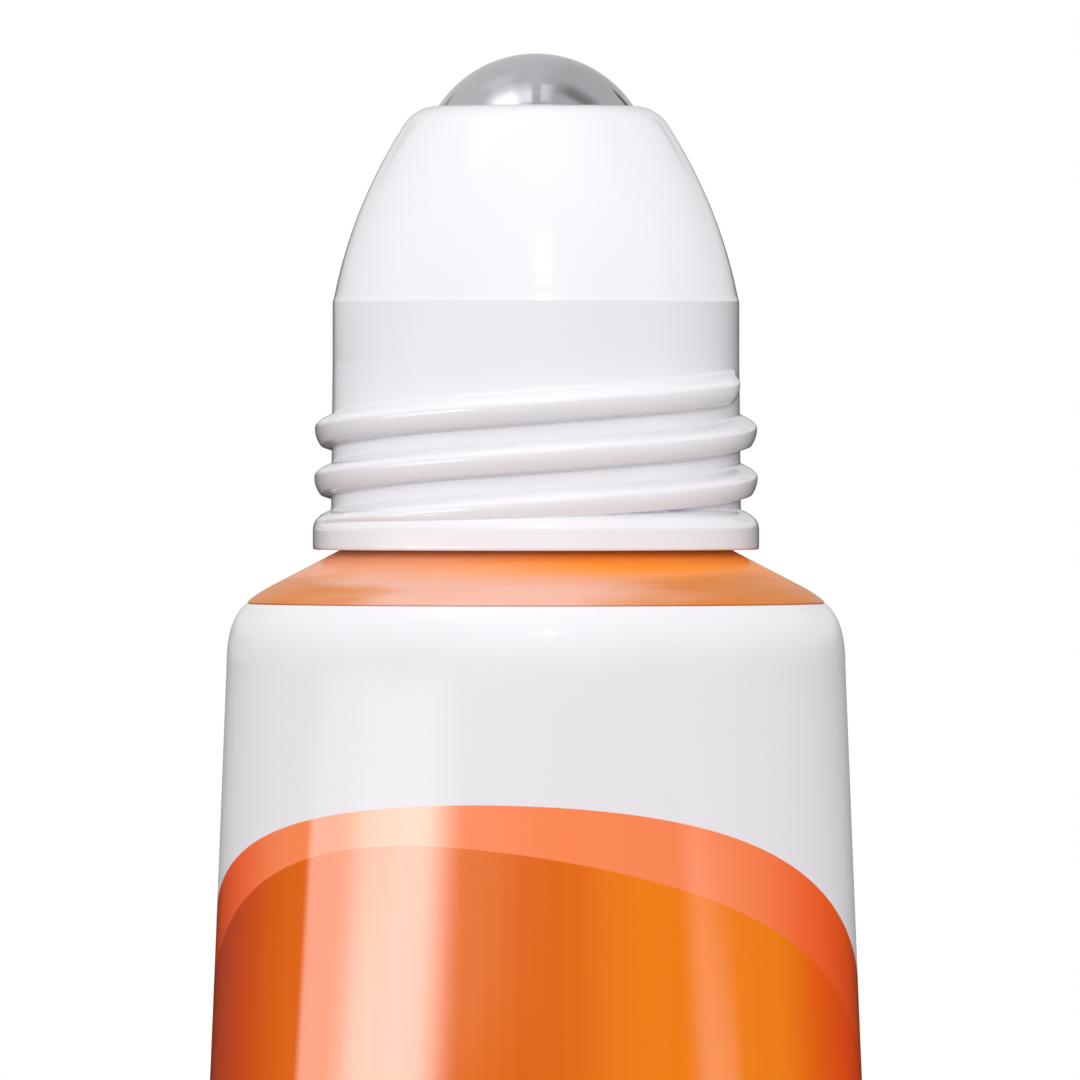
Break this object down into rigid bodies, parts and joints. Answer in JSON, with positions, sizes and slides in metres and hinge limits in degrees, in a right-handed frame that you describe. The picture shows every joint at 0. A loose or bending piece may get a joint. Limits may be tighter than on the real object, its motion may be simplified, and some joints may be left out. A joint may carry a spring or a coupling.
{
  "type": "roll-on squeeze tube",
  "caption": "Round-to-flat squeeze tube with a domed, screw-threaded roller head that holds a steel applicator ball; shown with the cap off.",
  "frame": {"origin": "centre of the tail's cut edge, the lowest point of the tube as it stands with the ball up", "axes": "+Z from the flat tail up to the ball, +X along the flat tail seal, +Y across it"},
  "size_m": [0.0298, 0.019, 0.1229],
  "materials": {
    "printed_sleeve": "gloss laminate, white at the top, a coral band and metallic orange below",
    "shoulder_plastic": "satin pearl orange",
    "white_plastic": "gloss",
    "natural_plastic": "natural, slightly milky",
    "ball_steel": "polished stainless steel"
  },
  "bodies": {
    "tube": {"tube_sleeve": "printed_sleeve", "tube_shoulder": "shoulder_plastic", "roller_housing": "white_plastic", "ball_seat": "natural_plastic"},
    "ball": {"roller_ball": "ball_steel"}
  },
  "joints": [
    {"name": "ball_roll", "type": "hinge", "parent": "tube", "child": "ball", "pos_m": [0, 0, 0.11929], "axis": [1, 0, 0], "continuous": true}
  ]
}
